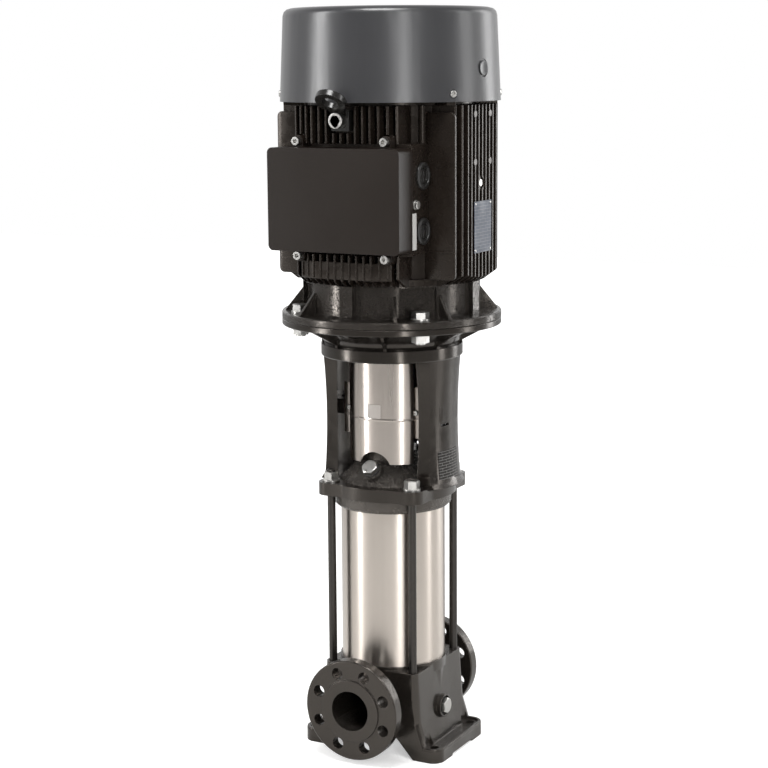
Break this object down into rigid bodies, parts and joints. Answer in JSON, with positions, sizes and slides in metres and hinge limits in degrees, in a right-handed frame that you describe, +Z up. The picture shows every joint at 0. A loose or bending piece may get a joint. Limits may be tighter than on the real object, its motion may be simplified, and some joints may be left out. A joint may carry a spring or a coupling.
{
  "type": "vertical multistage pump",
  "caption": "Vertical in-line multistage centrifugal pump: flanged cast base, stainless sleeve, stay bolts, coupling guards and a finned electric motor with a fan cover.",
  "frame": {"origin": "centre of the four foot holes, on the plane the feet stand on, on the shaft axis", "axes": "+Z up along the shaft axis, -Y out of the suction flange, +Y out of the discharge flange, +X towards the drain plug"},
  "size_m": [0.35, 0.3838, 1.187],
  "materials": {
    "base_casting": "satin dark paint over casting",
    "drain_plug": "polished stainless",
    "priming_plug": "polished stainless",
    "plug_gaskets": "matt",
    "outer_sleeve": "brushed round the sleeve",
    "sleeve_o_rings": "matt",
    "stay_bolts": "blackened",
    "stay_bolt_washers": "zinc plated",
    "stay_bolt_nuts": "zinc plated",
    "pump_head": "satin dark paint over casting",
    "seal_carrier": "machined",
    "seal_seat": "lapped carbide, dark",
    "chamber_1": "pressed sheet",
    "chamber_2": "pressed sheet",
    "chamber_3": "pressed sheet",
    "chamber_4": "pressed sheet",
    "chamber_5": "pressed sheet",
    "chamber_6": "pressed sheet",
    "inlet_ring": "pressed sheet",
    "stack_straps": "sheet strip",
    "motor_stool": "satin dark paint over casting",
    "guard_front": "brushed sheet",
    "guard_rear": "brushed sheet",
    "guard_screws": "zinc plated",
    "pump_nameplate": "bare dark plate",
    "drive_end_shield": "satin dark paint over casting",
    "stator_housing": "satin dark paint over casting",
    "fan_end_shield": "satin dark paint over casting",
    "flange_bolts": "zinc plated",
    "flange_nuts": "zinc plated",
    "stator_core": "stacked sheets",
    "stator_windings": "varnished copper",
    "bearing_outer_rings": "ground steel",
    "fan_cover": "satin grey paint",
    "fan_cover_screws": "zinc plated",
    "lifting_eye": "black paint",
    "lifting_eye_screw": "blackened",
    "terminal_cover": "satin dark paint",
    "terminal_cover_screws": "zinc plated",
    "cable_plugs": "black moulded plastic",
    "terminal_block": "moulded board with studs",
    "motor_nameplate": "bare dark plate",
    "earth_screws": "zinc plated",
    "pump_shaft": "ground",
    "seal_head": "bellows with carbide face",
    "coupling_half_front": "machined iron",
    "coupling_half_rear": "machined iron",
    "coupling_screws": "zinc plated",
    "coupling_pin": "ground",
    "motor_shaft": "ground",
    "rotor_core": "stacked sheets",
    "bearing_inner_rings": "ground steel",
    "cooling_fan": "moulded plastic",
    "impeller_1": "pressed and welded sheet",
    "impeller_2": "pressed and welded sheet",
    "impeller_3": "pressed and welded sheet",
    "impeller_4": "pressed and welded sheet",
    "impeller_5": "pressed and welded sheet",
    "impeller_6": "pressed and welded sheet",
    "bearing_balls": "ground steel"
  },
  "bodies": {
    "pump": {"base_casting": "base_casting", "drain_plug": "drain_plug", "priming_plug": "priming_plug", "plug_gaskets": "plug_gaskets", "outer_sleeve": "outer_sleeve", "sleeve_o_rings": "sleeve_o_rings", "stay_bolts": "stay_bolts", "stay_bolt_washers": "stay_bolt_washers", "stay_bolt_nuts": "stay_bolt_nuts", "pump_head": "pump_head", "seal_carrier": "seal_carrier", "seal_seat": "seal_seat", "chamber_1": "chamber_1", "chamber_2": "chamber_2", "chamber_3": "chamber_3", "chamber_4": "chamber_4", "chamber_5": "chamber_5", "chamber_6": "chamber_6", "inlet_ring": "inlet_ring", "stack_straps": "stack_straps", "motor_stool": "motor_stool", "guard_front": "guard_front", "guard_rear": "guard_rear", "guard_screws": "guard_screws", "pump_nameplate": "pump_nameplate", "drive_end_shield": "drive_end_shield", "stator_housing": "stator_housing", "fan_end_shield": "fan_end_shield", "flange_bolts": "flange_bolts", "flange_nuts": "flange_nuts", "stator_core": "stator_core", "stator_windings": "stator_windings", "bearing_outer_rings": "bearing_outer_rings", "fan_cover": "fan_cover", "fan_cover_screws": "fan_cover_screws", "lifting_eye": "lifting_eye", "lifting_eye_screw": "lifting_eye_screw", "terminal_cover": "terminal_cover", "terminal_cover_screws": "terminal_cover_screws", "cable_plugs": "cable_plugs", "terminal_block": "terminal_block", "motor_nameplate": "motor_nameplate", "earth_screws": "earth_screws"},
    "rotor": {"pump_shaft": "pump_shaft", "seal_head": "seal_head", "coupling_half_front": "coupling_half_front", "coupling_half_rear": "coupling_half_rear", "coupling_screws": "coupling_screws", "coupling_pin": "coupling_pin", "motor_shaft": "motor_shaft", "rotor_core": "rotor_core", "bearing_inner_rings": "bearing_inner_rings", "cooling_fan": "cooling_fan", "impeller_1": "impeller_1", "impeller_2": "impeller_2", "impeller_3": "impeller_3", "impeller_4": "impeller_4", "impeller_5": "impeller_5", "impeller_6": "impeller_6"},
    "ball_cages": {"bearing_balls": "bearing_balls"}
  },
  "joints": [
    {"name": "shaft_spin", "type": "hinge", "parent": "pump", "child": "rotor", "pos_m": [0, 0, 0.8], "axis": [0, 0, 1], "continuous": true},
    {"name": "cage_spin", "type": "hinge", "parent": "pump", "child": "ball_cages", "pos_m": [0, 0, 0.8], "axis": [0, 0, 1], "continuous": true}
  ],
  "couplings": [
    {"joint": "cage_spin", "follows": "shaft_spin", "ratio": 0.3828}
  ]
}
